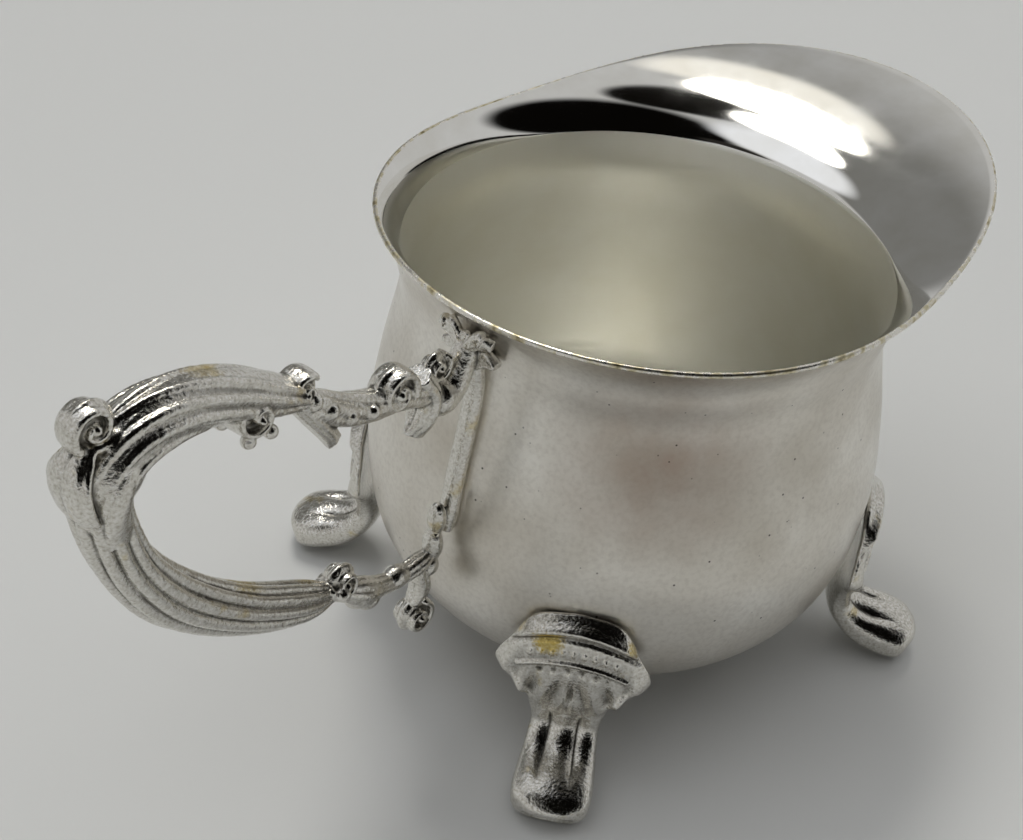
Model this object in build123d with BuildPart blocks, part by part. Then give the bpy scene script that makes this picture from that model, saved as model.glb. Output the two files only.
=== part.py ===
from build123d import *
import os
from math import cos, radians, sin

os.makedirs("parts", exist_ok=True)

# ---------------------------------------------------------------- driving dimensions, millimetres
# every other reach is told from the belly, so a wider belly carries its lip, handle and feet outward
sheet = 0.6                   # thickness of the spun sheet
belly_radius = 29.2           # widest outside radius of the pot belly
belly_height = 25.0           # height of that widest ring above the table
waist_radius = belly_radius - 2.9   # outside radius where the wall is narrowest, under the lip
waist_height = 45.6
neck_radius = belly_radius - 2.1    # outside radius of the ring where the lip starts
neck_height = 49.7
base_radius = belly_radius - 17.2   # flat disc under the bowl
base_height = 3.6
turn_radius = belly_radius - 6.6    # a ring on the lower turn of the bowl
turn_height = 8.4
base_slope = 0.12             # rise of the wall per unit run where it leaves the flat disc
neck_slope = 0.28             # run of the wall per unit rise where the lip starts
diagonal = 0.7                # share of an outward step taken along each axis on the lower turn

lip_reach = neck_radius + 2.5       # rim radius and height at the handle side
lip_height = 55.2
cheek_reach = neck_radius + 1.1     # and halfway round, beside the spout
cheek_height = 52.0
spout_length = 21.5                 # from the neck ring to the tip of the spout
spout_reach = neck_radius + spout_length
spout_height = 56.0
spout_focus = 6.0             # how tightly the spout is gathered round its tip
flare_out = 0.12              # where the lip wall bends: share of its run, share of its rise
flare_up = 0.72
flare_keep = 0.18             # the lip wall starts this far inside both faces of the bowl wall
flare_dip = 0.3               # and this far below the neck ring
lip_sections = 8              # steps between the radial sections in half of the lip

foot_count = 4
foot_turn = 12.0              # the ring of feet is turned this far from the handle plane
plate_top = 23.3              # palmette plate on the belly
plate_wide = 16.6             # its widest place, where the acanthus leaves spread
plate_wide_height = 16.4
plate_bottom = 10.0
plate_neck = 7.2
plate_thickness = 1.5
leg_top = 17.5                # the leg grows out of the plate at this height
leg_width = 7.4
leg_thickness = 3.0
ankle_reach = belly_radius - 0.3    # where the leg turns outward
ankle_height = 8.6
heel_reach = ankle_reach + 2.5
heel_height = 4.0
toe_reach = ankle_reach + 9.7       # outermost point of the toe
toe_width = 8.6
toe_height = 5.0
toe_nose = 0.55               # size of the blunt nose against the rest of the toe
flute_radius = 1.0            # hollows run down the leg and over the toe
flute_depth = 0.5
flute_spread = 2.1

strap_width = 1.8             # bar of the handle that lies along the belly
strap_thickness = 1.4
strap_top = 50.0              # its two ends, heights above the table
strap_bottom = 24.5
reed_radius = 0.9             # two hollows leave three reeds on the outside of the arm
reed_depth = 0.5
reed_spread = 1.5
leaf_span = 6.4               # little two-lobed leaf under the rim
leaf_height = 49.8
leaf_depth = 3.6              # how far it reaches out through the wall line
leaf_radius = 1.1
scroll_width = 3.2            # volutes at the thumb and at the upper joint
knob_width = 3.0              # smaller volutes and knobs
scroll_round = 0.5

# centre lines of the handle: distance out from the belly ring, height, thickness, width
arm_line = [
    (21.3, 56.8, 2.8, 3.0), (28.8, 60.5, 4.2, 4.2), (35.8, 61.6, 5.2, 5.2), (40.6, 58.4, 5.4, 5.6),
    (41.0, 53.5, 5.1, 5.2), (39.0, 47.2, 5.2, 5.0), (34.8, 41.2, 5.6, 4.8), (28.2, 35.5, 5.1, 4.6),
    (20.8, 31.3, 4.5, 4.2), (15.6, 29.8, 3.2, 3.2),
]
stem_line = [
    (21.8, 57.2, 2.8, 3.0), (18.2, 53.6, 2.6, 2.6), (14.2, 51.6, 2.8, 2.8),
    (9.4, 50.2, 3.4, 3.4), (5.2, 48.8, 3.0, 3.2), (1.8, 47.0, 2.6, 2.8),
]
riser_line = [
    (2.2, 46.4, 2.4, 2.6), (0.8, 48.2, 2.2, 2.4), (-0.3, 50.2, 1.9, 2.0), (-0.6, 51.6, 1.6, 1.8),
]
branch_line = [
    (16.0, 30.0, 3.4, 3.6), (12.4, 27.2, 3.0, 3.2), (8.2, 25.6, 2.4, 2.6),
    (3.8, 25.8, 2.2, 2.6), (0.4, 25.8, 2.2, 2.6),
]
drop_line = [
    (2.8, 27.0, 2.2, 2.4), (3.4, 23.6, 2.0, 2.0), (4.4, 20.0, 2.8, 2.8),
]
# scrolls and knobs that stand on those lines: distance out, height, radius, width
scrolls = [
    (41.8, 64.4, 2.6, scroll_width), (21.2, 56.8, 2.2, knob_width), (9.4, 51.0, 2.9, scroll_width),
    (25.8, 55.8, 2.6, knob_width), (15.6, 30.6, 2.4, knob_width), (12.5, 26.6, 2.2, knob_width),
]
# round beads: distance out, height, radius
beads = [
    (4.7, 18.8, 2.5), (2.0, 29.4, 1.4), (2.4, 26.6, 1.4), (17.0, 51.4, 1.5), (43.2, 57.6, 1.6),
]


# ---------------------------------------------------------------- wall line shared by every fit
def bowl_face(grow=0.0):
    """Filled half section of the bowl, its wall moved outward by grow."""
    turn = grow * diagonal
    low, high = base_height - grow, neck_height
    with BuildSketch(Plane.XZ) as face:
        with BuildLine():
            Spline(
                (base_radius, low),
                (turn_radius + turn, turn_height - turn),
                (belly_radius + grow, belly_height),
                (waist_radius + grow, waist_height),
                (neck_radius + grow, high),
                tangents=[(1, base_slope), (neck_slope, 1)],
            )
            Polyline((neck_radius + grow, high), (0, high), (0, low), (base_radius, low))
        make_face()
    return face.sketch


def at(reach, height):
    """A point in the handle's plane, which stands on the side opposite the spout."""
    return Vector(-reach, 0, height)


# filled shape of the bowl, used to trim whatever is soldered on it
with BuildPart() as envelope:
    add(bowl_face())
    revolve(axis=Axis.Z)


# ---------------------------------------------------------------- body: spun bowl with a flared lip
def rim_reach(angle):
    """Rim radius at an angle from the spout."""
    spout_share = ((1 + cos(radians(angle))) / 2) ** spout_focus
    back_share = ((1 - cos(radians(angle))) / 2) ** 2
    return cheek_reach + (spout_reach - cheek_reach) * spout_share + (lip_reach - cheek_reach) * back_share


def rim_height(angle):
    """Rim height at an angle from the spout."""
    spout_share = ((1 + cos(radians(angle))) / 2) ** spout_focus
    back_share = (1 - cos(radians(angle))) / 2
    rise = (spout_height - cheek_height) * spout_share + (lip_height - cheek_height) * back_share
    return cheek_height + rise


def radial_plane(angle):
    """Upright plane through the jug axis: local X runs outward, local Y runs up."""
    a = radians(angle)
    return Plane(origin=(0, 0, 0), x_dir=(cos(a), sin(a), 0), z_dir=(sin(a), -cos(a), 0))


def lip_lines(angle):
    """Points that steer the inner and the outer line of the lip wall in one radial plane."""
    foot_in = Vector(neck_radius - sheet + flare_keep, neck_height - flare_dip)
    foot_out = Vector(neck_radius - flare_keep, neck_height - flare_dip)
    edge = Vector(rim_reach(angle), rim_height(angle))
    bend = Vector(foot_in.X + flare_out * (edge.X - foot_in.X), foot_in.Y + flare_up * (edge.Y - foot_in.Y))
    run = (edge - bend).normalized()
    below = Vector(run.Y, -run.X) * sheet
    return [foot_in, bend, edge], [edge + below, bend + Vector(sheet, -sheet / 2), foot_out]


def lip_section(angle):
    """Closed outline of the lip wall in one radial plane."""
    with BuildSketch(radial_plane(angle)) as section:
        with BuildLine():
            inner, outer = lip_lines(angle)
            Bezier(*inner)
            Line(inner[-1], outer[0])
            Bezier(*outer)
            Line(outer[-1], inner[0])
        make_face()
    return section.sketch.faces()[0].outer_wire()


# the first section closes the ring again, so the lip has no seam
rings = [lip_section(180.0 * k / lip_sections) for k in range(2 * lip_sections)]
lip = Solid.make_loft(rings + rings[:1])

with BuildPart() as body:
    add(envelope.part)
    add(bowl_face(-sheet))
    revolve(axis=Axis.Z, mode=Mode.SUBTRACT)
    add(lip)
print("body", len(body.solids()), "solid", round(body.part.volume), "mm3")


# filled shape of the lip as it is on the handle side, to trim what tucks in under it
with BuildPart() as lip_fill:
    with BuildSketch(Plane.XZ):
        with BuildLine():
            inner, outer = lip_lines(180)
            Bezier(*outer)
            Polyline(outer[-1], (0, outer[-1].Y), (0, outer[0].Y), outer[0])
        make_face()
    revolve(axis=Axis.Z)


# ---------------------------------------------------------------- bars of varying section
def bar(points, sizes):
    """Loft an oval section along a smooth line; sizes are (thickness, width) at each point."""
    line = Spline(*points)
    with BuildPart() as piece:
        for point, (thick, wide) in zip(points, sizes):
            station = line.param_at_point(point)
            with BuildSketch(Plane(origin=point, x_dir=(0, 1, 0), z_dir=line % station)):
                Ellipse(wide / 2, thick / 2)
        loft()
    return piece.part


def groove(points, sizes, side, radius, depth, outward):
    """Round hollow that follows the outside of a bar at a distance to one side of it."""
    line = Spline(*points)
    run = []
    for point, (thick, wide) in zip(points, sizes):
        along = line % line.param_at_point(point)
        normal = Vector(along.Z, 0, -along.X) * outward
        run.append(point + normal * (thick / 2 + radius - depth) + Vector(0, side, 0))
    path = Spline(*run)
    with BuildPart() as piece:
        with BuildSketch(Plane(origin=path @ 0, z_dir=path % 0)):
            Circle(radius)
        sweep(path=path)
    return piece.part


# ---------------------------------------------------------------- feet: plate, leg and toe in one casting
leg_points = [
    Vector(belly_radius + plate_thickness / 2, 0, leg_top),
    Vector(ankle_reach + plate_thickness, 0, (leg_top + ankle_height) / 2),
    Vector(ankle_reach, 0, ankle_height),
    Vector(heel_reach, 0, heel_height),
    Vector(toe_reach - toe_height / 3, 0, toe_height / 2 - flute_depth),
    Vector(toe_reach, 0, toe_height / 2 - 2 * flute_depth),
]
leg_sizes = [
    (plate_thickness, leg_width), (leg_thickness, leg_width), (leg_thickness, leg_width),
    ((leg_thickness + toe_height) / 2, (leg_width + toe_width) / 2), (toe_height, toe_width),
    (toe_nose * toe_height, toe_nose * toe_width),
]

with BuildPart() as plate:
    add(bowl_face(plate_thickness))
    revolve(axis=Axis.Z)
    with BuildSketch(Plane.YZ.offset(belly_radius / 2)):
        with BuildLine():
            Spline(
                (0, plate_top), (plate_wide / 2, plate_wide_height), (plate_neck / 2, plate_bottom),
                tangents=[(1, 0), (0, -1)],
            )
            mirror(about=Plane.YZ)
            Line((plate_neck / 2, plate_bottom), (-plate_neck / 2, plate_bottom))
        make_face()
    extrude(amount=belly_radius, mode=Mode.INTERSECT)

with BuildPart() as foot:
    add(plate.part)
    add(bar(leg_points, leg_sizes))
    for side in (-flute_spread, 0, flute_spread):
        add(groove(leg_points[1:5], leg_sizes[1:5], side, flute_radius, flute_depth, -1), mode=Mode.SUBTRACT)
    with Locations((heel_reach, 0, -toe_height / 2)):
        Box(3 * toe_width, 3 * toe_width, toe_height, mode=Mode.SUBTRACT)
    add(envelope.part, mode=Mode.SUBTRACT)
print("foot", len(foot.solids()), "solid", round(foot.part.volume), "mm3")


# ---------------------------------------------------------------- handle: one casting with its back strap
def stations(line):
    """Points and section sizes of one centre line of the handle."""
    points = [at(belly_radius + out, height) for out, height, thick, wide in line]
    return points, [(thick, wide) for out, height, thick, wide in line]


arm_points, arm_sizes = stations(arm_line)
stem_points, stem_sizes = stations(stem_line)
riser_points, riser_sizes = stations(riser_line)
branch_points, branch_sizes = stations(branch_line)
drop_points, drop_sizes = stations(drop_line)

with BuildPart() as strap:
    add(bowl_face(strap_thickness))
    revolve(axis=Axis.Z)
    with Locations(at(belly_radius, (strap_top + strap_bottom) / 2)):
        Box(belly_radius, strap_width, strap_top - strap_bottom, mode=Mode.INTERSECT)

with BuildPart() as leaf:
    with BuildSketch(Plane(origin=at(waist_radius - sheet, leaf_height), x_dir=(0, 1, 0), z_dir=(-1, 0, 0))):
        SlotOverall(leaf_span, 2 * leaf_radius)
    extrude(amount=leaf_depth)

with BuildPart() as handle:
    add(bar(arm_points, arm_sizes))
    add(bar(stem_points, stem_sizes))
    add(bar(riser_points, riser_sizes))
    add(bar(branch_points, branch_sizes))
    add(bar(drop_points, drop_sizes))
    for out, height, radius, width in scrolls:
        with BuildPart(Plane.XZ, mode=Mode.PRIVATE) as scroll:
            Cylinder(radius, width)
            fillet(scroll.edges(), scroll_round)
        with Locations(at(belly_radius + out, height)):
            add(scroll.part)
    for out, height, radius in beads:
        with Locations(at(belly_radius + out, height)):
            Sphere(radius)
    add(strap.part)
    add(leaf.part)
    for side in (-reed_spread, reed_spread):
        add(groove(arm_points[3:9], arm_sizes[3:9], side, reed_radius, reed_depth, 1), mode=Mode.SUBTRACT)
    add(envelope.part, mode=Mode.SUBTRACT)
    add(lip_fill.part, mode=Mode.SUBTRACT)
print("handle", len(handle.solids()), "solid", round(handle.part.volume), "mm3")


# ---------------------------------------------------------------- set down on the table and export
spout_end = body.part.bounding_box().max.X
handle_end = handle.part.bounding_box().min.X
to_origin = Pos(-(spout_end + handle_end) / 2, 0, 0)
print("jug axis stands at x =", round(to_origin.position.X, 3))

pieces = {"body": body.part, "handle": handle.part}
for k in range(foot_count):
    azimuth = 360.0 / foot_count * (k + 0.5) - foot_turn
    pieces[f"foot_{k + 1}"] = Rot(0, 0, azimuth) * foot.part

for name, piece in pieces.items():
    placed = to_origin * piece
    placed.label = name
    export_step(placed, f"parts/{name}.step")
    box = placed.bounding_box()
    print(name, [round(v, 2) for v in (*box.min, *box.max)])
    for sole in placed.faces().filter_by(Axis.Z).filter_by_position(Axis.Z, -flute_depth, flute_depth / 2):
        print("  flat underside at", [round(v, 3) for v in sole.center()], "area", round(sole.area, 1))
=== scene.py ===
# %% [markdown]
# # A small footed cream jug in silver plate
#
# The real jug is six pieces. A bowl is spun from thin sheet on a lathe and its lip is pressed out into a
# wide pouring spout. A scrolled handle and four shell-topped feet are cast, soldered on, and the whole is
# silver plated. The solid model already gives every size. This lesson adds what the eye reads as metal:
# a mirror lip, a frosted inside, a hazy polished outside, and castings with crisp relief.

# %% Load the frame
import math

import bpy
import numpy as np
from mathutils import Matrix, Vector, noise


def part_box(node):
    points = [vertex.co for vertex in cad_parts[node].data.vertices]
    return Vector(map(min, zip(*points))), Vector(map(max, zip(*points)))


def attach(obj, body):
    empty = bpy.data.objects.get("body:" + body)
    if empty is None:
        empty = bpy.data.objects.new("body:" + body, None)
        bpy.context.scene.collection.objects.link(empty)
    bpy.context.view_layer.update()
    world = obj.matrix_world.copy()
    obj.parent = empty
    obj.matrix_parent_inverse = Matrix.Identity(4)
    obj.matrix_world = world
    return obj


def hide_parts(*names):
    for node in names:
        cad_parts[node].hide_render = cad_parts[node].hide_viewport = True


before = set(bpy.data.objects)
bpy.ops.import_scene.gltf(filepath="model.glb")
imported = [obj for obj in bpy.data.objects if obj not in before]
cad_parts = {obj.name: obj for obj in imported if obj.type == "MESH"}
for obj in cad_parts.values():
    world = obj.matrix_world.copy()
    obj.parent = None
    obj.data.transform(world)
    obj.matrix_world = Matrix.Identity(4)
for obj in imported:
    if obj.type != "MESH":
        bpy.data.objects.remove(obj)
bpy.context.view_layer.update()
MM = 0.001
print("nodes:", sorted(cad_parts))

# %% [markdown]
# The jug turns about an upright axis, which is where the lathe held it. Four feet stand evenly round it,
# so the middle of their boxes is that axis. Everything below is drawn in millimetres from there:
# the reach from the axis, the side, and the height above the table.

# %% Find the turning axis
FEET = sorted(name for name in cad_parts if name.startswith("foot_"))


def middle(name):
    """Centre of a node's box, in millimetres."""
    low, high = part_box(name)
    return (Vector(low) + Vector(high)) / 2 / MM


AXIS = sum((middle(name) for name in FEET), Vector()) / len(FEET)
AXIS.z = 0.0
BODY_HIGH = Vector(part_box("body")[1]) / MM - AXIS
SPOUT_REACH = BODY_HIGH.x
print("axis at", [round(v, 2) for v in AXIS], "spout reaches", round(SPOUT_REACH, 1))

# %% [markdown]
# Round stretches are drawn as smooth lines through a few points. A Catmull-Rom line passes through each
# point it is given and needs no handles, so a profile can be read off a drawing and typed in.

# %% Smooth lines


def smooth_line(points, steps):
    """Points of a smooth line through the given ones, with that many steps between each two."""
    points = np.asarray(points, float)
    ends = np.vstack([2 * points[0] - points[1], points, 2 * points[-1] - points[-2]])
    share = np.linspace(0, 1, steps, endpoint=False)[:, None]
    spans = []
    for before, start, end, after in zip(ends, ends[1:], ends[2:], ends[3:]):
        bend = 2 * before - 5 * start + 4 * end - after
        turn = -before + 3 * start - 3 * end + after
        spans.append(start + share / 2 * (end - before + share * (bend + share * turn)))
    return np.vstack(spans + [points[-1:]])


def even_line(points, count):
    """The same line walked in equal steps."""
    points = np.asarray(points, float)
    walked = np.concatenate([[0], np.cumsum(np.linalg.norm(np.diff(points[:, :3], axis=0), axis=1))])
    stops = np.linspace(0, walked[-1], count)
    return np.stack([np.interp(stops, walked, column) for column in points.T], axis=1)


# %% [markdown]
# A spun or cast skin is a grid of points: rows one way, columns the other. One function turns such a grid
# into a mesh, closed round the columns, with a fan at either end, and smooth shading over all of it.

# %% Grids into meshes


def skin(name, grid, finishes=None):
    """Mesh from a grid (rows, columns, 3) in millimetres, closed round its columns and capped."""
    rows, columns = grid.shape[:2]
    points = grid.reshape(-1, 3)
    column = np.arange(columns)
    beside = (column + 1) % columns
    faces = []
    for row in range(rows - 1):
        low, high = row * columns, (row + 1) * columns
        faces += np.stack([low + column, low + beside, high + beside, high + column], 1).tolist()
    caps = np.stack([grid[0].mean(0), grid[-1].mean(0)])
    first, last = rows * columns, rows * columns + 1
    faces += [[first, b, a] for a, b in zip(column.tolist(), beside.tolist())]
    top = (rows - 1) * columns
    faces += [[last, top + a, top + b] for a, b in zip(column.tolist(), beside.tolist())]
    points = (np.vstack([points, caps]) + np.array(AXIS)) * MM
    mesh = bpy.data.meshes.new(name)
    mesh.from_pydata(points.tolist(), [], faces)
    mesh.shade_smooth()
    piece = bpy.data.objects.new(name, mesh)
    bpy.context.scene.collection.objects.link(piece)
    if finishes is not None:
        index = np.zeros(len(faces), int)
        index[: (rows - 1) * columns] = np.repeat(finishes, columns)
        index[-columns:] = finishes[-1]
        index[-2 * columns : -columns] = finishes[0]
        mesh.polygons.foreach_set("material_index", index)
    return piece


# %% [markdown]
# ## The body
#
# The bowl is a turned profile: a flat disc under it, a tight lower turn, a full belly, a waist. Above
# the neck ring the lip is no longer round. It runs out to one side into the spout and is narrow by the
# handle. Each radial section of the lip is one bend, so the lip is that bend swept round with its rim
# moving in and out.

# %% Body sizes
SHEET = 0.6
WALL_POINTS = [
    (12.0, 3.9), (22.3, 8.7), (27.4, 15.4), (28.9, 25.0),
    (28.0, 34.0), (26.5, 41.5), (26.05, 45.6), (26.8, 49.7),
]
NECK = np.array([26.8, 49.7])
CHEEK_REACH, CHEEK_HEIGHT = 28.2, 52.0
LIP_REACH, LIP_HEIGHT = 29.6, 55.2
SPOUT_HEIGHT = BODY_HIGH.z
SPOUT_FOCUS = 6.0
FLARE_OUT, FLARE_UP = 0.16, 0.6


def rim(turn):
    """Reach and height of the rim at an angle, in radians, from the spout."""
    towards_spout = ((1 + np.cos(turn)) / 2) ** SPOUT_FOCUS
    towards_handle = (1 - np.cos(turn)) / 2
    reach = CHEEK_REACH + (SPOUT_REACH - SHEET / 2 - CHEEK_REACH) * towards_spout
    reach += (LIP_REACH - CHEEK_REACH) * towards_handle**2
    height = CHEEK_HEIGHT + (SPOUT_HEIGHT - SHEET / 2 - CHEEK_HEIGHT) * towards_spout
    height += (LIP_HEIGHT - CHEEK_HEIGHT) * towards_handle
    return np.array([reach, height])


# %% Body sections
WALL_STEPS, LIP_STEPS, EDGE_STEPS = 110, 34, 6
TURN_STEPS = 360


def middle_of_sheet(turn):
    """Middle line of the sheet from the base disc to the rim, in one radial plane."""
    wall = even_line(smooth_line(WALL_POINTS, 24), WALL_STEPS)
    edge = rim(turn)
    bend = NECK + (edge - NECK) * (FLARE_OUT, FLARE_UP)
    share = np.linspace(0, 1, LIP_STEPS + 1)[1:, None]
    lip = (1 - share) ** 2 * NECK + 2 * share * (1 - share) * bend + share**2 * edge
    return np.vstack([wall, lip])


def sheet_section(turn):
    """Outline of the sheet in one radial plane: up the outside, round the rim, down the inside."""
    line = middle_of_sheet(turn)
    run = np.gradient(line, axis=0)
    run /= np.linalg.norm(run, axis=1)[:, None]
    out = np.stack([run[:, 1], -run[:, 0]], 1) * SHEET / 2
    swing = np.linspace(0, math.pi, EDGE_STEPS + 2)[1:-1, None]
    edge = line[-1] + np.cos(swing) * out[-1] + np.sin(swing) * run[-1] * SHEET / 2
    return np.vstack([line + out, edge, (line - out)[::-1]])


turns = np.linspace(0, 2 * math.pi, TURN_STEPS, endpoint=False)
sections = np.stack([sheet_section(turn) for turn in turns], 1)
reaches, heights = sections[..., 0], sections[..., 1]
body_grid = np.stack([reaches * np.cos(turns), reaches * np.sin(turns), heights], -1)

# %% [markdown]
# Sheet that has been spun and then pressed by hand is never quite true. A slow swell of a few hundredths
# of a millimetre is far too small to see as shape, but it is what makes reflections wander.

# %% Let the sheet wander a little
WANDER, WANDER_SIZE = 0.05, 11.0


def wander(points, size, seed):
    """Smooth noise from -1 to 1 at each point; size is the width of a swell in millimetres."""
    flat = points.reshape(-1, 3)
    values = [noise.noise(Vector(p) / size + Vector((seed, 0, 0))) for p in flat]
    return np.array(values).reshape(points.shape[:-1])


swell = wander(body_grid, WANDER_SIZE, 3.0)[..., None] * WANDER
away = body_grid * (1, 1, 0)
away /= np.linalg.norm(away, axis=-1)[..., None] + 1e-9
body_grid = body_grid + away * swell

OUTSIDE, RIM_EDGE, LIP_INSIDE, BOWL_INSIDE = range(4)
outside_rows = WALL_STEPS + LIP_STEPS - 1
body_finishes = [OUTSIDE] * outside_rows + [RIM_EDGE] * (EDGE_STEPS + 1)
body_finishes += [LIP_INSIDE] * LIP_STEPS + [BOWL_INSIDE] * (WALL_STEPS - 1)
body = skin("spun_body", body_grid, body_finishes)
print("body grid", body_grid.shape, "faces by finish rows", len(body_finishes))

# %% [markdown]
# ## Castings
#
# The handle and the feet are cast, so their forms run into one another with small soft fillets. A way to
# get that: draw each stem, scroll, leaf and bead as its own closed skin, join them, rebuild the whole as
# one skin on a fine grid (a voxel remesh), and smooth it a little. The fillets come by themselves.
#
# Most of the forms are bars: a section that changes along a line. The section can be round or squarish,
# and ribs (reeds) can run along it.

# %% Directions along a bar


def directions(centre):
    """Along, across and outward directions at each point of a centre line."""
    run = np.gradient(centre, axis=0)
    run /= np.linalg.norm(run, axis=1)[:, None]
    across = np.array([0.0, 1.0, 0.0]) - run * run[:, 1:2]
    across /= np.linalg.norm(across, axis=1)[:, None]
    return run, across, np.cross(across, run)


def bar(line, sizes, reeds=0, depth=0.0, twist=0.0, square=1.0, columns=56, rows=120):
    """Closed skin of a bar. line is (reach, side, height) points; sizes are (thickness, width) there.
    reeds are ribs round the section and twist winds them; square below 1 makes the section boxier."""
    path = even_line(smooth_line(np.hstack([np.asarray(line, float), np.asarray(sizes, float)]), 20), rows)
    centre, thick, wide = path[:, :3], path[:, 3:4] / 2, path[:, 4:5] / 2
    _, across, out = directions(centre)
    around = np.linspace(0, 2 * math.pi, columns, endpoint=False)
    wind = np.linspace(0, twist * 2 * math.pi, rows)[:, None]
    relief = 1 - depth * (1 - np.abs(np.sin(reeds * (around[None, :] + wind) / 2)) ** 0.5) if reeds else 1.0
    up = np.sign(np.cos(around)) * np.abs(np.cos(around)) ** square * thick * relief
    over = np.sign(np.sin(around)) * np.abs(np.sin(around)) ** square * wide * relief
    return centre[:, None] + out[:, None] * up[..., None] + across[:, None] * over[..., None]


def blunt(sizes, start=0.4, end=0.4):
    """The same sizes with both ends drawn in, so that a bar ends bluntly and not in a flat disc."""
    sizes = [tuple(size) for size in sizes]
    first = tuple(start * value for value in sizes[0])
    last = tuple(end * value for value in sizes[-1])
    return [first] + sizes[1:-1] + [last]


# %% [markdown]
# A volute is a flat band wound into its own centre like a watch spring. The turns stand proud of a
# thinner disc behind them, so that the gap between two turns reads as a dark line, and a boss closes it.

# %% Volutes, beads and leaves
VOLUTE_BAND = 0.36


def bead(reach, height, radius, side=0.0, stretch=(1.0, 1.0, 1.0)):
    """A round bead; stretch makes it longer along the reach, the side or the height."""
    swing = np.linspace(0.08, math.pi - 0.08, 22)[:, None]
    around = np.linspace(0, 2 * math.pi, 30, endpoint=False)
    level = -np.cos(swing + 0 * around)
    ball = np.stack([np.sin(swing) * np.cos(around), np.sin(swing) * np.sin(around), level], -1)
    return ball * radius * np.array(stretch) + np.array([reach, side, height])


def volute(reach, height, radius, width, turns=1.5, start=0.0, way=1):
    """Skins of one volute: the wound band, the thin disc behind it and the boss in its eye."""
    share = np.linspace(0, 1, 40)
    angle = start + way * share * turns * 2 * math.pi
    band = radius * VOLUTE_BAND * (1 - 0.45 * share)
    distance = radius * (1 - 0.72 * share) - band / 2
    line = np.stack([reach + distance * np.cos(angle), 0 * share, height + distance * np.sin(angle)], 1)
    sizes = np.stack([band, width * (0.92 + 0.1 * share)], 1)
    wound = bar(line, blunt(sizes, 0.5, 0.5), square=0.7, columns=36, rows=170)
    disc = bead(reach, height, radius * 0.86, stretch=(1, 0.36 * width / radius, 1))
    boss = bead(reach, height, radius * 0.27, stretch=(1, 0.58 * width / (radius * 0.27), 1))
    return [wound, disc, boss]


def leaf(line, widths, thickness, veins=3, depth=0.2):
    """A pointed leaf lying along a line: widest in the middle, with a few veins along it."""
    sizes = [(thickness, wide) for wide in widths]
    return bar(line, sizes, reeds=2 * veins, depth=depth, columns=56, rows=70)


def strand(line, sizes, thick, angles, reach_share=(0.0, 1.0), proud=0.86):
    """A rib that winds over the surface of a bar, from one angle round its section to another."""
    path = even_line(smooth_line(np.hstack([np.asarray(line, float), np.asarray(sizes, float)]), 20), 90)
    first, last = (int(share * 89) for share in reach_share)
    path = path[first : last + 1]
    _, across, out = directions(path[:, :3])
    turn = np.radians(np.linspace(*angles, len(path)))[:, None]
    lie = out * np.cos(turn) * path[:, 3:4] / 2 + across * np.sin(turn) * path[:, 4:5] / 2
    centre = path[:, :3] + lie * proud
    fade = np.sin(np.linspace(0.25, math.pi - 0.25, len(centre)))[:, None] ** 0.5
    return bar(centre[::4], (thick * fade * np.ones((1, 2)))[::4], columns=24, rows=90)


# %% [markdown]
# One pass joins the drawn skins, rebuilds them as one casting and softens the joins. The sand or wax of
# the mould leaves the skin slightly uneven, so the points are moved by a hundredth or two as well.

# %% Where grime and painted shade will sit
HOLLOW_PASSES, HOLLOW_DEPTH = 36, 0.13


def mark_hollows(mesh, place, normals):
    """Store how far each point lies below its smoothed surroundings, from 0 to 1, as the value "hollow"."""
    edges = np.empty(len(mesh.edges) * 2, np.int32)
    mesh.edges.foreach_get("vertices", edges)
    one, other = edges.reshape(-1, 2).T
    count = np.bincount(one, minlength=len(place)) + np.bincount(other, minlength=len(place))
    soft = place.astype(float)
    for _ in range(HOLLOW_PASSES):
        total = [
            np.bincount(one, soft[other, k], len(place)) + np.bincount(other, soft[one, k], len(place))
            for k in range(3)
        ]
        soft = np.stack(total, 1) / count[:, None]
    below = ((soft - place) * normals).sum(1)
    hollow = np.clip(below / HOLLOW_DEPTH, 0, 1)
    mesh.attributes.new("hollow", "FLOAT", "POINT").data.foreach_set("value", hollow.astype(np.float32))
    print("hollow share", round(float((hollow > 0.5).mean()), 3))


# %% Cast the drawn skins into one


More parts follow.
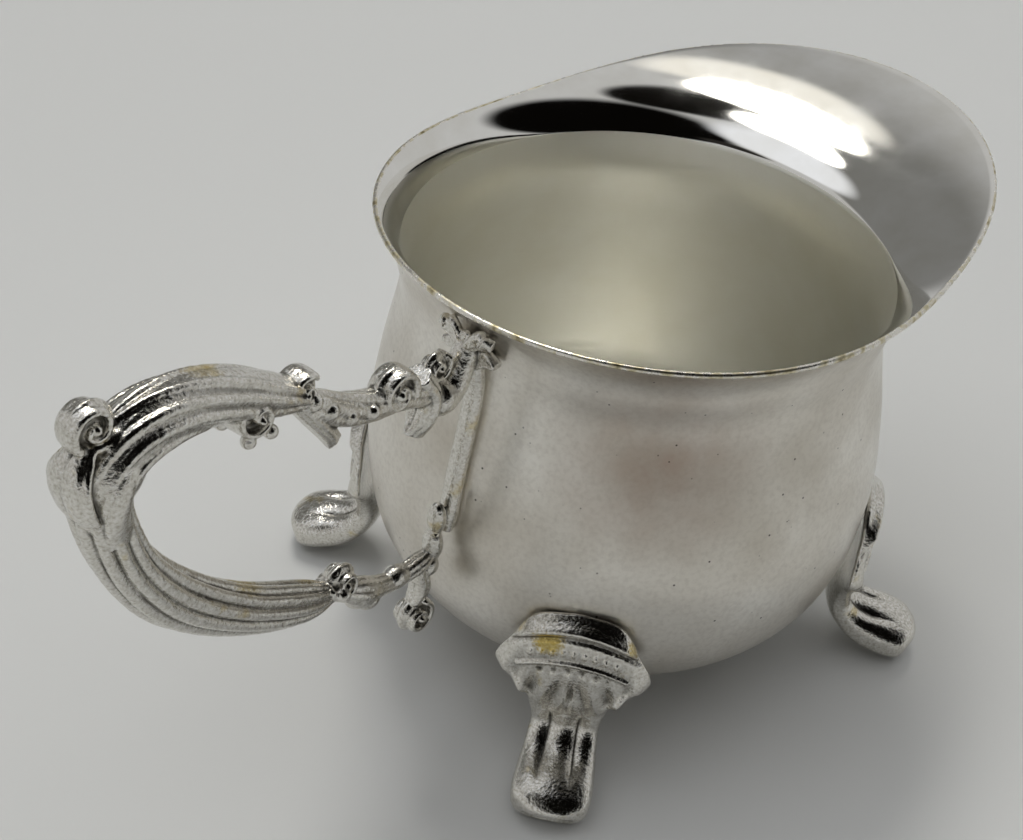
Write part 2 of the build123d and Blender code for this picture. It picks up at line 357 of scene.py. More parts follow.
def cast(name, grids, voxel, soften, pitting, seed, mirrored=True):
    """One casting from many closed grids drawn as (reach, side, height) on the handle's side."""
    points, faces, count = [], [], 0
    for grid in grids:
        rows, columns = grid.shape[:2]
        column = np.arange(columns)
        beside = (column + 1) % columns
        for row in range(rows - 1):
            low, high = count + row * columns, count + (row + 1) * columns
            faces += np.stack([low + column, high + column, high + beside, low + beside], 1).tolist()
        faces.append((count + column).tolist())
        faces.append((count + (rows - 1) * columns + column[::-1]).tolist())
        points.append(grid.reshape(-1, 3))
        count += rows * columns
    points = np.vstack(points)
    if mirrored:
        points = points * (-1, 1, 1)
    mesh = bpy.data.meshes.new(name)
    mesh.from_pydata(points.tolist(), [], faces)
    piece = bpy.data.objects.new(name, mesh)
    bpy.context.scene.collection.objects.link(piece)
    remesh = piece.modifiers.new("one skin", "REMESH")
    remesh.mode = "VOXEL"
    remesh.voxel_size = voxel
    smooth = piece.modifiers.new("soften", "SMOOTH")
    smooth.factor, smooth.iterations = 0.5, soften
    solid = bpy.data.meshes.new_from_object(piece.evaluated_get(bpy.context.evaluated_depsgraph_get()))
    piece.modifiers.clear()
    piece.data = solid
    place = np.empty(len(solid.vertices) * 3, np.float32)
    solid.vertices.foreach_get("co", place)
    normals = np.empty_like(place)
    solid.vertices.foreach_get("normal", normals)
    place, normals = place.reshape(-1, 3), normals.reshape(-1, 3)
    mark_hollows(solid, place, normals)
    rough = wander(place, 0.9, seed) + 0.6 * wander(place, 0.35, seed + 5)
    place = place + normals * (rough * pitting)[:, None]
    solid.vertices.foreach_set("co", place.astype(np.float32).ravel())
    solid.update()
    solid.shade_smooth()
    print(name, len(solid.vertices), "points after casting")
    return piece


def set_down(piece, turn=0.0):
    """Turn a piece drawn in millimetres about the jug axis and put it in the frame, in metres."""
    move = Matrix.Translation(AXIS * MM) @ Matrix.Rotation(turn, 4, "Z") @ Matrix.Scale(MM, 4)
    piece.data.transform(move)
    piece.data.update()
    return piece


# %% [markdown]
# ## The handle
#
# Seen from the side the handle is a C with a smaller branch at each end. The arch of the C has a smooth
# back and slanting strands on its flanks, the lower run carries straight reeds, and volutes mark each
# place where one stem grows out of another.

# %% Arch, arm and stems
ARM = [
    (68.9, 0, 60.6), (70.5, 0, 57.6), (70.4, 0, 53.6), (68.3, 0, 47.4), (64.0, 0, 41.2), (57.4, 0, 35.5),
    (50.0, 0, 31.3), (44.6, 0, 29.6),
]
ARM_SIZES = [(4.2, 4.4), (5.0, 5.2), (5.1, 5.0), (5.1, 4.8), (5.6, 4.8), (5.1, 4.6), (4.4, 4.0), (3.2, 3.2)]
ARCH = [
    (49.6, 0, 55.9), (53.0, 0, 57.6), (58.2, 0, 60.0), (63.6, 0, 61.4),
    (68.0, 0, 60.7), (70.3, 0, 57.8), (70.2, 0, 54.0),
]
ARCH_SIZES = [(2.8, 3.0), (3.5, 3.8), (4.5, 4.6), (5.2, 5.2), (5.6, 5.6), (5.6, 5.6), (4.8, 5.0)]
STEM = [
    (51.6, 0, 56.4), (48.8, 0, 54.2), (45.4, 0, 51.9), (41.6, 0, 50.4),
    (38.0, 0, 49.6), (34.6, 0, 48.4), (31.6, 0, 47.2),
]
STEM_SIZES = [(2.6, 2.8), (3.0, 3.0), (3.4, 3.2), (3.2, 3.2), (3.2, 3.0), (3.0, 3.0), (2.6, 2.8)]
RISER = [
    (34.6, 0, 47.6), (32.6, 0, 46.6), (30.6, 0, 47.2), (29.3, 0, 49.3), (28.6, 0, 51.0), (28.9, 0, 52.6),
]
RISER_SIZES = [(3.2, 3.2), (3.8, 3.6), (3.4, 3.4), (2.8, 2.9), (2.2, 2.4), (1.5, 2.0)]
BRANCH = [
    (45.4, 0, 29.6), (42.4, 0, 27.6), (39.6, 0, 26.4), (36.8, 0, 25.7), (33.6, 0, 25.8), (31.2, 0, 26.4),
]
BRANCH_SIZES = [(3.4, 3.6), (3.0, 3.2), (2.3, 2.5), (2.0, 2.2), (2.2, 2.4), (2.0, 2.4)]

handle_skins = [
    bar(ARM, blunt(ARM_SIZES), reeds=10, depth=0.3, twist=0.1, rows=220, columns=140),
    bar(ARCH, blunt(ARCH_SIZES, 0.6, 0.5), rows=150),
    bar(STEM, blunt(STEM_SIZES), reeds=6, depth=0.22, twist=0.3, columns=72),
    bar(RISER, blunt(RISER_SIZES)),
    bar(BRANCH, blunt(BRANCH_SIZES), reeds=6, depth=0.2, columns=72),
]

# %% Strands on both flanks of the arch
# angles round the section in degrees, first and last, and the share of the arch they run along
STRANDS = [
    (40, 84, 0.04, 0.5), (50, 128, 0.06, 0.96), (84, 158, 0.02, 0.99),
    (122, 180, 0.06, 0.8), (48, 96, 0.46, 0.97),
]
for flank in (-1, 1):
    for start, end, first, last in STRANDS:
        angles = (flank * start, flank * end)
        handle_skins.append(strand(ARCH, ARCH_SIZES, 1.05, angles, (first, last), proud=0.93))

# %% Volutes, leaves and beads of the handle
handle_skins += volute(71.0, 63.9, 2.5, 2.8, turns=1.3, start=-1.0, way=1)
handle_skins += volute(38.7, 50.6, 2.9, 3.2, turns=1.4, start=-2.4, way=-1)
handle_skins += volute(50.2, 56.6, 2.1, 3.0, turns=1.3, start=2.6, way=-1)
handle_skins += volute(56.2, 57.7, 2.5, 5.0, turns=1.2, start=1.2, way=-1)
handle_skins += volute(44.9, 30.8, 2.2, 3.0, turns=1.3, start=0.4, way=-1)
handle_skins += volute(34.1, 18.9, 2.4, 3.2, turns=1.4, start=1.7, way=1)
handle_skins += volute(33.0, 50.6, 1.8, 2.2, turns=1.2, start=2.4, way=1)
handle_skins += [
    leaf([(71.2, 0, 62.2), (73.0, 0, 60.0), (72.9, 0, 57.4), (71.7, 0, 54.8), (70.6, 0, 52.6)],
         (2.4, 5.0, 5.4, 3.8, 1.0), 2.0),
    leaf([(66.8, 0, 62.6), (69.2, 0, 62.2), (71.2, 0, 61.8)], (3.8, 4.0, 3.0), 2.0, veins=2),
    leaf([(50.8, 0, 55.8), (48.6, 0, 52.6), (46.9, 0, 50.2), (45.9, 0, 48.6)], (2.6, 3.0, 2.4, 1.0), 1.9),
    leaf([(35.4, 0, 50.6), (34.0, 0, 47.8), (34.6, 0, 45.2), (35.6, 0, 43.6)], (3.0, 3.6, 3.2, 1.2), 2.8),
    leaf([(33.4, 0, 24.8), (33.2, 0, 22.4), (34.0, 0, 20.4)], (2.0, 2.6, 2.0), 2.0, veins=2),
    leaf([(28.9, -0.4, 51.2), (28.9, -2.0, 52.5), (28.7, -3.3, 52.4)], (1.2, 2.0, 0.7), 1.4, veins=1),
    leaf([(28.9, 0.4, 51.2), (28.9, 2.0, 52.5), (28.7, 3.3, 52.4)], (1.2, 2.0, 0.7), 1.4, veins=1),
    bead(41.8, 27.0, 1.9, stretch=(1.1, 0.8, 0.8)),
    bead(40.9, 25.6, 1.3, stretch=(1.1, 0.9, 0.8)),
    bead(37.0, 26.0, 1.4, stretch=(1.2, 0.9, 0.9)),
    bead(31.2, 30.4, 1.2, stretch=(0.8, 0.9, 1.7)),
    bead(31.6, 27.2, 1.3, stretch=(0.8, 0.9, 1.6)),
    bead(32.2, 24.6, 1.2),
]
for flank in (-1, 1):
    handle_skins += [
        bead(54.8, 55.5, 0.7, side=1.7 * flank),
        bead(57.2, 55.7, 0.7, side=1.7 * flank),
        bead(47.4, 53.4, 0.75, side=1.2 * flank),
        bead(45.0, 51.5, 0.65, side=1.3 * flank),
        bead(42.4, 50.8, 0.75, side=1.3 * flank),
        bead(49.4, 55.4, 0.8, side=1.2 * flank),
        bead(45.6, 30.2, 0.8, side=1.3 * flank),
        leaf([(66.4, 1.5 * flank, 60.4), (69.4, 2.2 * flank, 59.6),
              (70.8, 2.3 * flank, 56.6), (70.4, 1.9 * flank, 52.8)],
             (0.9, 1.7, 1.9, 0.6), 2.6, veins=1),
    ]

# %% [markdown]
# The bar down the belly has to follow the wall exactly. Its middle line is the wall's own line pushed out
# by half the bar, so it lies on the metal from the neck ring to the lower branch.

# %% Bar along the belly
STRAP_THICK, STRAP_WIDE = 1.7, 2.2
STRAP_TOP, STRAP_BOTTOM = 50.2, 26.0
wall = even_line(smooth_line(WALL_POINTS, 24), 400)
on_strap = wall[(wall[:, 1] < STRAP_TOP) & (wall[:, 1] > STRAP_BOTTOM)][::-16]
strap_line = [(reach + SHEET / 2 + STRAP_THICK / 2 - 0.25, 0, height) for reach, height in on_strap]
strap_sizes = [(STRAP_THICK, STRAP_WIDE)] * len(strap_line)
handle_skins.append(bar(strap_line, blunt(strap_sizes, 0.7, 0.7), columns=40, rows=120))
for flank in (-1, 1):
    tip = [(27.9, 0.2 * flank, 48.6), (27.9, 1.7 * flank, 49.9), (27.9, 3.4 * flank, 49.8)]
    handle_skins.append(leaf(tip, (1.6, 2.2, 0.8), 1.6, veins=1))

HANDLE_VOXEL = 0.11
handle = set_down(cast("cast_handle", handle_skins, HANDLE_VOXEL, 3, 0.03, 1.0))

# %% [markdown]
# ## The feet
#
# Each foot is one casting from the same pattern. From the top: a shell plate with a rolled upper edge and
# a row of beads hugs the belly, acanthus leaves sweep in from both sides to the ankle, and a fluted leg
# runs out to a padded toe. Such low relief is easiest as a height map: walk down the foot, walk across
# it, and add a height to the plain form at each step.

# %% Foot form
# middle line of the foot: reach, height, width, thickness
FOOT_FORM = [
    (29.4, 23.4, 1.0, 0.5), (29.55, 22.9, 6.6, 0.9), (29.75, 22.0, 9.8, 1.3), (30.0, 20.4, 12.0, 1.5),
    (30.1, 18.4, 13.8, 1.6), (30.2, 16.4, 16.0, 1.6), (30.2, 14.8, 16.6, 1.7), (30.0, 13.2, 13.6, 2.0),
    (29.6, 11.4, 10.2, 2.5), (29.1, 9.4, 8.4, 2.9), (29.1, 7.2, 7.6, 3.1), (30.4, 5.2, 7.8, 3.5),
    (32.6, 3.6, 8.4, 4.4), (35.4, 2.8, 8.8, 5.0), (37.3, 2.4, 8.3, 4.6), (38.3, 2.2, 6.2, 3.6),
    (38.6, 2.0, 2.6, 1.6),
]
DOWN_STEPS, ACROSS_STEPS = ((340, 170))


def bump_at(value, centre, width):
    """A smooth bump, one at the centre and fading over the width."""
    return np.exp(-(((value - centre) / width) ** 2))


def shell_relief(down, across, wide):
    """Height of the relief on the plate, in millimetres; down is the height on the foot."""
    side = across * wide / 2
    arch = down + 0.05 * side**2
    roll = 0.95 * bump_at(arch, 21.9, 0.65) - 0.4 * bump_at(arch, 20.6, 0.32)
    ledge = 0.36 * bump_at(arch, 17.5, 0.26) * (np.abs(side) < 6)
    beads = 0.38 * bump_at(arch, 18.9, 0.4) * np.cos(side * math.pi / 1.15) ** 4 * (np.abs(side) < 5.4)
    marks = -0.3 * bump_at(arch, 16.3, 0.4) * np.cos(side * math.pi / 1.5 + 0.8) ** 6 * (np.abs(side) < 4)
    groove = -0.9 * bump_at(side, 0.15, 0.36) * bump_at(down, 12.8, 1.6)
    fan = 0.34 * np.cos(side * 2.4 + 0.5 * np.sign(side) * (down - 13)) * bump_at(down, 12.2, 2.6)
    edge = 0.7 * bump_at(np.abs(across), 0.84, 0.1) * bump_at(down, 13.2, 3.2)
    return roll + ledge + beads + marks + groove + fan + edge


def flute_relief(along, across):
    """Flutes of the leg and toe; along runs from 0 at the ankle to 1 at the tip."""
    flutes = 0.62 * (np.abs(np.cos(across * math.pi * 1.25)) ** 0.6 - 0.6)
    fade = np.clip(along * 5, 0, 1) * np.clip((1.0 - along) * 8, 0, 1)
    return flutes * fade


# %% Foot skin
foot_line = smooth_line(FOOT_FORM, 30)
foot_line = even_line(np.insert(foot_line, 2, 0.0, axis=1), DOWN_STEPS)
reach, height, wide, thick = (foot_line[:, k : k + 1] for k in (0, 1, 3, 4))
run = np.gradient(np.hstack([reach, height]), axis=0)
run /= np.linalg.norm(run, axis=1)[:, None]
around = np.linspace(0, 2 * math.pi, ACROSS_STEPS, endpoint=False)[None, :]
across, front = np.sin(around), np.cos(around)
leg_share = np.maximum(np.clip((10.0 - height) / 7.5, 0, 1), np.clip((reach - 31.0) / 6.4, 0, 1))
plate_share = np.clip((height - 9.5) / 3.0, 0, 1)
relief = plate_share * shell_relief(height, across, wide)
relief = relief + (1 - plate_share) * flute_relief(leg_share, across)
face = np.sign(front) * np.abs(front) ** 0.7
lift = face * thick / 2 + np.clip(front * 3, 0, 1) * relief
bowl_bend = 31.0
tuck = (bowl_bend - np.sqrt(bowl_bend**2 - (across * wide / 2) ** 2)) * plate_share
foot_grid = np.stack([
    reach - run[:, 1:] * lift - tuck,
    across * wide / 2,
    np.maximum(height + run[:, :1] * lift, 0.02),
], -1)
FOOT_VOXEL = 0.1
foot = cast("cast_foot", [foot_grid], FOOT_VOXEL, 2, 0.02, 9.0, mirrored=False)

# %% [markdown]
# The four feet share one pattern. The solid model knows where each one stands, so the pattern is copied
# and turned to each node's own bearing round the axis.

# %% Stand the feet
feet = []
for name in FEET:
    bearing = middle(name) - AXIS
    copy = bpy.data.objects.new(f"cast_{name}", foot.data.copy())
    bpy.context.scene.collection.objects.link(copy)
    set_down(copy, math.atan2(bearing.y, bearing.x))
    feet.append(copy)
    print(name, "bearing", round(math.degrees(math.atan2(bearing.y, bearing.x))))
bpy.data.objects.remove(foot)

# %% [markdown]
# ## Finishes
#
# Colours are written as the hex values a designer would pick, and one function turns them to the linear
# values that the renderer adds up. Another adds a node, sets it and links it in one line.

# %% Two small helpers


def linear(code):
    """Linear RGBA from an sRGB hex colour."""
    parts = [int(code[k : k + 2], 16) / 255 for k in (1, 3, 5)]
    return [p / 12.92 if p <= 0.04045 else ((p + 0.055) / 1.055) ** 2.4 for p in parts] + [1.0]


def node(tree, kind, settings=None, links=None, label=""):
    """Add a node; settings are its own fields or its inputs' values, links feed its inputs."""
    made = tree.nodes.new(kind)
    made.label = label
    named = {key: value for key, value in (settings or {}).items() if isinstance(key, str)}
    fields = {key: value for key, value in named.items() if key not in made.inputs}
    for key, value in fields.items():
        setattr(made, key, value)
    for key, value in (settings or {}).items():
        if key in fields:
            continue
        if isinstance(key, int) or key in made.inputs:
            made.inputs[key].default_value = value
        else:
            setattr(made, key, value)
    for key, source in (links or {}).items():
        tree.links.new(source, made.inputs[key])
    return made


def new_finish(name):
    """A material with a bare surface shader, and the place of a point in metres to draw from."""
    material = bpy.data.materials.new(name)
    material.use_nodes = True
    tree = material.node_tree
    tree.nodes.clear()
    shader = node(tree, "ShaderNodeBsdfPrincipled", {"Metallic": 1.0})
    end = node(tree, "ShaderNodeOutputMaterial")
    tree.links.new(shader.outputs[0], end.inputs[0])
    place = node(tree, "ShaderNodeTexCoord").outputs["Object"]
    return material, tree, shader, place


def ramp(tree, value, stops):
    """Colour ramp over a value; stops are (position, hex colour)."""
    made = node(tree, "ShaderNodeValToRGB", links={0: value})
    while len(made.color_ramp.elements) < len(stops):
        made.color_ramp.elements.new(0.5)
    for element, (position, code) in zip(made.color_ramp.elements, stops):
        element.position, element.color = position, linear(code)
    return made.outputs[0]


def speckle(tree, place, size_mm, **settings):
    """Noise whose grains are about that many millimetres across, from 0 to 1."""
    values = {"Scale": 1 / (size_mm * MM), "Detail": 3.0, "Roughness": 0.55}
    values.update(settings)
    return node(tree, "ShaderNodeTexNoise", values, {"Vector": place}).outputs[0]


def span(tree, value, low, high, to_low=0.0, to_high=1.0):
    """Map a value from one span to another, kept inside it."""
    made = node(tree, "ShaderNodeMapRange", {1: low, 2: high, 3: to_low, 4: to_high}, {0: value})
    return made.outputs[0]


def stretched(tree, place, scale):
    """The same place stretched along each axis, so that a pattern runs in one direction."""
    return node(tree, "ShaderNodeMapping", {"Scale": scale}, {"Vector": place}).outputs[0]


def product(tree, first, second):
    """Two values multiplied."""
    return node(tree, "ShaderNodeMath", {"operation": "MULTIPLY"}, {0: first, 1: second}).outputs[0]


def distance_to(tree, place, spot):
    """Distance in metres from each point to one spot."""
    settings = {"operation": "DISTANCE", 1: spot}
    return node(tree, "ShaderNodeVectorMath", settings, {0: place}).outputs["Value"]


def plain(tree, code, label):
    """One colour, named by its label."""
    made = node(tree, "ShaderNodeRGB", label=label)
    made.outputs[0].default_value = linear(code)
    return made.outputs[0]


def mixed(tree, share, first, second):
    """Blend of two colours by a share."""
    made = node(tree, "ShaderNodeMix", {"data_type": "RGBA"}, {0: share, 6: first, 7: second})
    return made.outputs[2]


# %% [markdown]
# The outside of the bowl was polished on the lathe and then handled for years: silver plate gone hazy,
# with fine lines running round it, a warm bloom of tarnish on the front of the belly, faint finger marks
# and a scatter of tiny dark pits. The haze is roughness. The lines are noise squeezed flat, so that it
# varies quickly with height and slowly round the bowl.

# %% Hazy spun silver plate for the outside
outside, tree, shader, place = new_finish("hazy_spun_silver_plate")
lathe_lines = speckle(tree, stretched(tree, place, (0.05, 0.05, 1.0)), 0.35, Detail=4.0)
bloom = speckle(tree, place, 14.0, Detail=2.0)
cloud = speckle(tree, place, 5.0, Detail=4.0)
pits = node(tree, "ShaderNodeTexVoronoi", {"Scale": 1 / (2.2 * MM)}, {"Vector": place}).outputs["Distance"]
pit_share = span(tree, pits, 0.03, 0.07, 1.0, 0.0)
close_pits = node(tree, "ShaderNodeTexVoronoi", {"Scale": 1 / MM}, {"Vector": place}).outputs["Distance"]
close_share = span(tree, close_pits, 0.05, 0.11, 1.0, 0.0)
close_share = product(tree, close_share, span(tree, cloud, 0.6, 0.66))
either_pit = node(tree, "ShaderNodeMath", {"operation": "MAXIMUM"}, {0: pit_share, 1: close_share})
pit_share = either_pit.outputs[0]
SMUDGE_AT = AXIS * MM + Vector((-21.0, -19.5, 42.0)) * MM
smudge = span(tree, distance_to(tree, place, SMUDGE_AT), 2 * MM, 13 * MM, 0.8, 0.0)
smudge = product(tree, smudge, span(tree, cloud, 0.35, 0.65, 0.5, 1.0))
clean = ramp(tree, bloom, [(0.3, "#CDC7BC"), (0.7, "#EEEBE4")])
mottle = speckle(tree, place, 0.6, Detail=5.0)
dull = plain(tree, "#9C9388", "dull film")
clean = mixed(tree, span(tree, mottle, 0.42, 0.72, 0.0, 0.22), clean, dull)
tarnished = mixed(tree, smudge, clean, ramp(tree, cloud, [(0.35, "#8F7C6E"), (0.65, "#A59284")]))
pitted = mixed(tree, pit_share, tarnished, plain(tree, "#3A352F", "dirt in a pit"))
tree.links.new(pitted, shader.inputs["Base Color"])
tree.links.new(span(tree, lathe_lines, 0.3, 0.7, 0.28, 0.36), shader.inputs["Roughness"])
bump = node(tree, "ShaderNodeBump", {"Strength": 0.12, "Distance": 0.02 * MM}, {"Height": lathe_lines})
tree.links.new(bump.outputs[0], shader.inputs["Normal"])

# %% [markdown]
# The inside of the bowl was left frosted: spun, pickled in acid and plated, never buffed. It reads as a
# warm pale grey with no clear reflections, so it is metal with a high roughness and a creamy colour.

# %% Frosted silver plate for the inside
inside, tree, shader, place = new_finish("frosted_silver_plate")
lathe_lines = speckle(tree, stretched(tree, place, (0.06, 0.06, 1.0)), 0.5, Detail=3.0)
cloud = speckle(tree, place, 9.0)
tree.links.new(ramp(tree, cloud, [(0.3, "#F6F4EA"), (0.7, "#FBFAF3")]), shader.inputs["Base Color"])
tree.links.new(span(tree, lathe_lines, 0.3, 0.7, 0.38, 0.48), shader.inputs["Roughness"])
bump = node(tree, "ShaderNodeBump", {"Strength": 0.2, "Distance": 0.03 * MM}, {"Height": lathe_lines})
tree.links.new(bump.outputs[0], shader.inputs["Normal"])

# %% [markdown]
# The inside of the lip is the showpiece: buffed with rouge until it is a mirror. A mirror is made by what
# it reflects, so the finish is nearly plain, with a faint film and hairlines.

# %% Buffed mirror silver plate for the lip
mirror_lip, tree, shader, place = new_finish("buffed_mirror_silver_plate")
film = speckle(tree, place, 6.0)
tree.links.new(ramp(tree, film, [(0.3, "#E9E7E1"), (0.7, "#F3F2EF")]), shader.inputs["Base Color"])
tree.links.new(span(tree, film, 0.35, 0.7, 0.03, 0.08), shader.inputs["Roughness"])
hairlines = speckle(tree, stretched(tree, place, (0.3, 0.3, 1.0)), 0.25, Detail=2.0)
bump = node(tree, "ShaderNodeBump", {"Strength": 0.05, "Distance": 0.01 * MM}, {"Height": hairlines})
tree.links.new(bump.outputs[0], shader.inputs["Normal"])

# %% [markdown]
# The cut edge of the rim is the first place where plate wears through, so it glints silver in some places
# and yellow brass in others, and has small nicks.

# %% Worn rim edge
rim_edge, tree, shader, place = new_finish("worn_plate_edge")
wear = speckle(tree, place, 1.2, Detail=4.0)
worn_through = ramp(tree, wear, [(0.45, "#E9E6DE"), (0.58, "#CFC6A8"), (0.7, "#8F8464")])
tree.links.new(worn_through, shader.inputs["Base Color"])
tree.links.new(span(tree, wear, 0.3, 0.7, 0.2, 0.4), shader.inputs["Roughness"])
nicks = speckle(tree, place, 0.5)
bump = node(tree, "ShaderNodeBump", {"Strength": 0.4, "Distance": 0.1 * MM}, {"Height": nicks})
tree.links.new(bump.outputs[0], shader.inputs["Normal"])

# %% [markdown]
# The castings are bright on the high spots, because only those meet the buff, and dark in the hollows,
# where grime and old polish stay and where shade is painted into the colour too. The value stored with each
# point when it was cast tells the two apart.
# On the places that the thumb and the cloth rub most, the plate has gone and warm brass shows.

# %% Cast silver plate for handle and feet
casting, tree, shader, place = new_finish("cast_silver_plate")
hollow = node(tree, "ShaderNodeAttribute", {"attribute_name": "hollow"}).outputs["Fac"]
grain = speckle(tree, place, 0.3, Detail=3.0)
patches = speckle(tree, place, 4.0, Detail=4.0)
# The hollows are darkened here: partly real grime, partly painted shade of the recesses.
grime = span(tree, hollow, 0.16, 1.0, 0.0, 0.92)
grime = product(tree, grime, span(tree, patches, 0.3, 0.55, 0.55, 1.0))
plate = ramp(tree, grain, [(0.3, "#B9B5AB"), (0.5, "#DAD7CF"), (0.7, "#ECEBE7")])
brass = ramp(tree, grain, [(0.3, "#B8A04E"), (0.7, "#D8C68A")])
worn = mixed(tree, span(tree, patches, 0.62, 0.7, 0.0, 0.5), plate, brass)
WORN_SPOTS = [
    # how much brass shows, its radius in millimetres, and where: bearing, reach, side, height
    (1.0, 1.9, -147, 30.4, -3.9, 19.9),
    (0.8, 1.5, -147, 30.4, 5.6, 20.6),
    (0.5, 2.2, 180, 60.0, -1.2, 62.6),
    (0.6, 1.4, 180, 69.2, -1.4, 62.8),
    (0.6, 1.8, 180, 42.2, -1.0, 50.0),
    (0.5, 2.6, 180, 56.4, -1.0, 38.0),
    (0.5, 1.8, 180, 48.8, -1.4, 32.6),
    (0.5, 1.6, 180, 70.6, -2.2, 55.4),
]
for much, radius, bearing, out, beside, up in WORN_SPOTS:
    turn = math.radians(bearing)
    spot = Matrix.Rotation(turn, 3, "Z") @ Vector((out, beside, up))
    far = distance_to(tree, place, (spot + AXIS) * MM)
    settings = {"operation": "MULTIPLY_ADD", 1: radius * MM, 2: -0.5 * radius * MM}
    ragged = node(tree, "ShaderNodeMath", settings, {0: grain}).outputs[0]
    far = node(tree, "ShaderNodeMath", {"operation": "ADD"}, {0: far, 1: ragged}).outputs[0]
    worn = mixed(tree, span(tree, far, 0.6 * radius * MM, 1.05 * radius * MM, much, 0.0), worn, brass)
# The near-black colour in the hollows is partly grime and partly painted shade.
dirty = mixed(tree, grime, worn, ramp(tree, grain, [(0.3, "#1F1C15"), (0.7, "#4A4538")]))
tree.links.new(dirty, shader.inputs["Base Color"])
clean_roughness = span(tree, grain, 0.3, 0.7, 0.1, 0.24)
finish = node(tree, "ShaderNodeMath", {"operation": "MULTIPLY_ADD", 1: 0.3}, {0: grime, 2: clean_roughness})
tree.links.new(finish.outputs[0], shader.inputs["Roughness"])
bump = node(tree, "ShaderNodeBump", {"Strength": 0.6, "Distance": 0.1 * MM}, {"Height": grain})
tree.links.new(bump.outputs[0], shader.inputs["Normal"])

# %% Dress the pieces
for material in (outside, rim_edge, mirror_lip, inside):
    body.data.materials.append(material)
for piece in [handle] + feet:
    piece.data.materials.append(casting)
for name, material in [("body", outside), ("handle", casting)] + [(name, casting) for name in FEET]:
    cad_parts[name].data.materials.clear()
    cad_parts[name].data.materials.append(material)

# %% [markdown]
# Each visible piece stands for a node of the solid model and rides on its body. The jug has no moving
# parts, so there is one body, called root.

# %% Tie the pieces to the frame
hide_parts("body")
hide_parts("handle")
for piece, name in zip(feet, FEET):
    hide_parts(name)
for piece in [body, handle] + feet:
    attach(piece, "root")

# %% [markdown]
# ## The table and the light
#
# Metal shows its room. The room here is a plain pale one, with a window beyond the spout and a viewer in
# dark clothes under a dim ceiling, which is what draws the black band in the lip.

# %% Pale table
FLOOR_HALF = 1.6
floor_mesh = bpy.data.meshes.new("table_top")
corners = [(FLOOR_HALF * x, FLOOR_HALF * y, 0) for x, y in ((-1, -1), (1, -1), (1, 1), (-1, 1))]
floor_mesh.from_pydata(corners, [], [(0, 1, 2, 3)])
floor = bpy.data.objects.new("table_top", floor_mesh)
bpy.context.scene.collection.objects.link(floor)
table_finish = bpy.data.materials.new("pale_table_paint")
table_finish.use_nodes = True
table_shader = table_finish.node_tree.nodes["Principled BSDF"]
table_shader.inputs["Base Color"].default_value = linear("#CFD0CF")
table_shader.inputs["Roughness"].default_value = 0.6
floor_mesh.materials.append(table_finish)

# %% [markdown]
# The room is told as a short list of what stands round the table: where it is seen from the jug (the
# bearing round the jug and the height above the horizon, in degrees), how wide it is, how soft its border
# is, and how bright. The world shader paints each one over the last as a soft round patch.

# %% The room the metal shows
ROOM_TONE = "#BEBEBD"
ROOM = [
    # name, bearing, height, half width, soft border, colour, strength
    ("viewer in dark clothes under a dim ceiling", -105, 50, 43, 8, "#14120F", 0.3),
    ("dim wall left of the viewer", 172, 52, 9, 7, "#2A2826", 1.0),
    ("grey wall beyond the table", 72, 27, 30, 10, "#787876", 1.0),
    ("dark curtain over the window", 29, 68, 8, 3, "#14120F", 0.5),
    ("bright blind beyond the spout", 35, 49, 3, 2, "#FFFCF4", 1.0),
    ("window beyond the spout", 41, 55, 4, 2, "#FFFCF4", 17.0),
    ("upper pane of the window", 60, 63, 5, 3, "#FFFDF8", 15.0),
    ("pale ceiling to the left", 108, 64, 14, 8, "#F0F2F6", 1.0),
]


def toward(bearing, height):
    """Unit vector to a bearing round the jug and a height above the horizon, in degrees."""
    turn, lift = math.radians(bearing), math.radians(height)
    return (math.cos(lift) * math.cos(turn), math.cos(lift) * math.sin(turn), math.sin(lift))


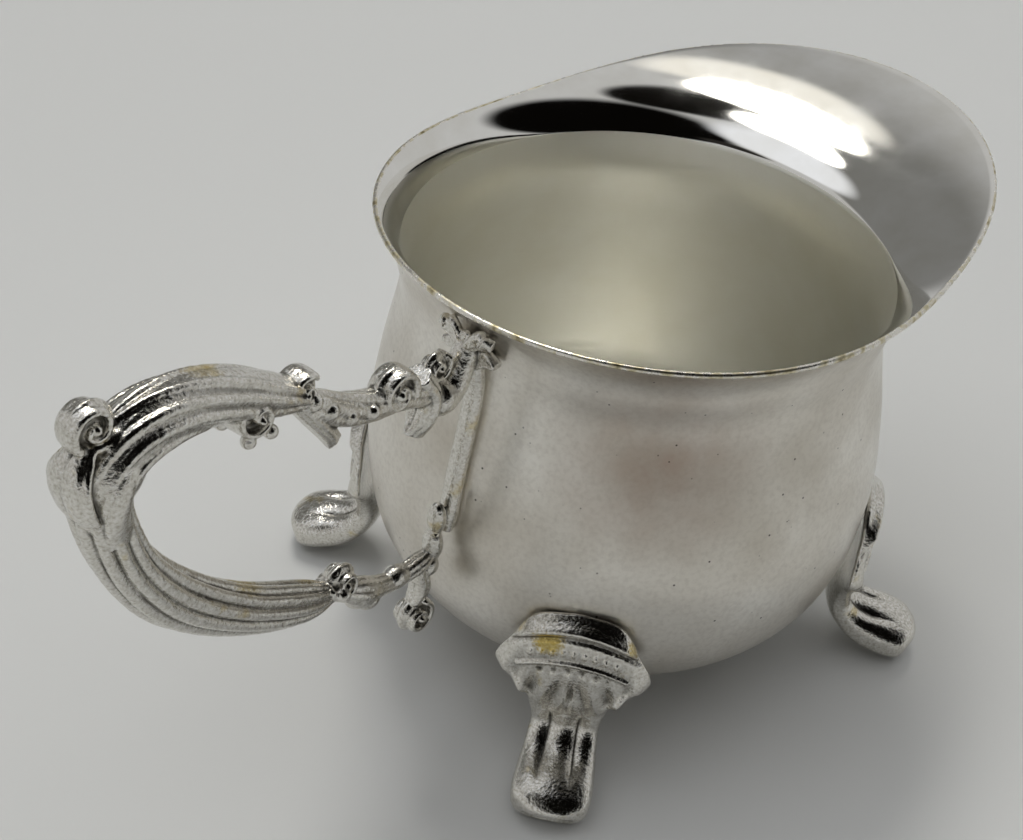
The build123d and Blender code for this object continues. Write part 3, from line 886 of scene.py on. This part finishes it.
world = bpy.data.worlds.new("pale_room")
bpy.context.scene.world = world
world.use_nodes = True
room = world.node_tree
looking = node(room, "ShaderNodeTexCoord").outputs["Generated"]
painted = plain(room, ROOM_TONE, "pale walls")
for name, bearing, height, half, border, colour, strength in ROOM:
    settings = {"operation": "DOT_PRODUCT", 1: toward(bearing, height)}
    along = node(room, "ShaderNodeVectorMath", settings, {0: looking}).outputs["Value"]
    edge_out, edge_in = math.cos(math.radians(half + border)), math.cos(math.radians(half))
    settings = {"interpolation_type": "SMOOTHSTEP", 1: edge_out, 2: edge_in}
    share = node(room, "ShaderNodeMapRange", settings, {0: along}).outputs[0]
    patch = node(room, "ShaderNodeRGB", label=name)
    patch.outputs[0].default_value = [value * strength for value in linear(colour)[:3]] + [1.0]
    painted = mixed(room, share, painted, patch.outputs[0])
backdrop = room.nodes["Background"]
room.links.new(painted, backdrop.inputs[0])
backdrop.inputs[1].default_value = 1.0

# %% [markdown]
# The room alone would leave deep shade on the near side of the table. A wide soft panel overhead fills
# it. The metal does not mirror the panel, so the dark band in the lip stays clean.

# %% Soft panel overhead
PANEL_SIDE, PANEL_UP, PANEL_POWER = 1.6, 1.2, 7.0
panel_light = bpy.data.lights.new("soft_panel", "AREA")
panel_light.shape, panel_light.size, panel_light.energy = "SQUARE", PANEL_SIDE, PANEL_POWER
panel = bpy.data.objects.new("soft_panel", panel_light)
bpy.context.scene.collection.objects.link(panel)
panel.location = (0, 0, PANEL_UP)
panel.visible_glossy = False

# %% [markdown]
# ## The camera
#
# The jug is seen from the handle's side, looking down at it by about 38 degrees, with the camera tipped a
# few degrees.

# %% Camera
CAMERA_FROM = Vector((-123.6, -80.6, 139.0))
CAMERA_AT = Vector((-4.1, 12.9, 21.3))
CAMERA_ROLL = math.radians(5.9)
LENS_MM, SENSOR_MM = 56.3, 36.0
camera_data = bpy.data.cameras.new("camera")
camera_data.lens, camera_data.sensor_width = LENS_MM, SENSOR_MM
camera_data.clip_start = 0.01
camera = bpy.data.objects.new("camera", camera_data)
bpy.context.scene.collection.objects.link(camera)
camera.location = (CAMERA_FROM + AXIS) * MM
look = (CAMERA_AT - CAMERA_FROM).to_track_quat("-Z", "Y").to_matrix()
camera.rotation_euler = (look @ Matrix.Rotation(CAMERA_ROLL, 3, "Z")).to_euler()
bpy.context.scene.camera = camera
bpy.context.scene.view_settings.view_transform = "Standard"
